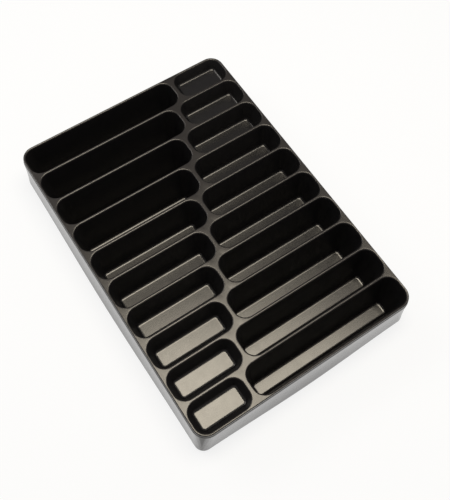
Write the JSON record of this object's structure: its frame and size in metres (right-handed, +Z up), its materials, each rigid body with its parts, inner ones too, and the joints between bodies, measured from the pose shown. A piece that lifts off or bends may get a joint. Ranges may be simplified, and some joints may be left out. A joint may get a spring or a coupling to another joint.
{
  "type": "thermoformed plastic tray",
  "caption": "Thin plastic tray thermoformed with graded oblong pockets that grow longer and deeper along each side of a stepped spine.",
  "frame": {"origin": "on the ground at the middle of the foot", "axes": "+Z up; +Y along the tray's long sides, across the rows; +X along the pockets"},
  "size_m": [0.2372, 0.3372, 0.0485],
  "materials": {
    "sheet": "glossy black formed sheet, a little softer on the pocket floors"
  },
  "bodies": {
    "root": {"tray": "sheet"}
  },
  "joints": []
}
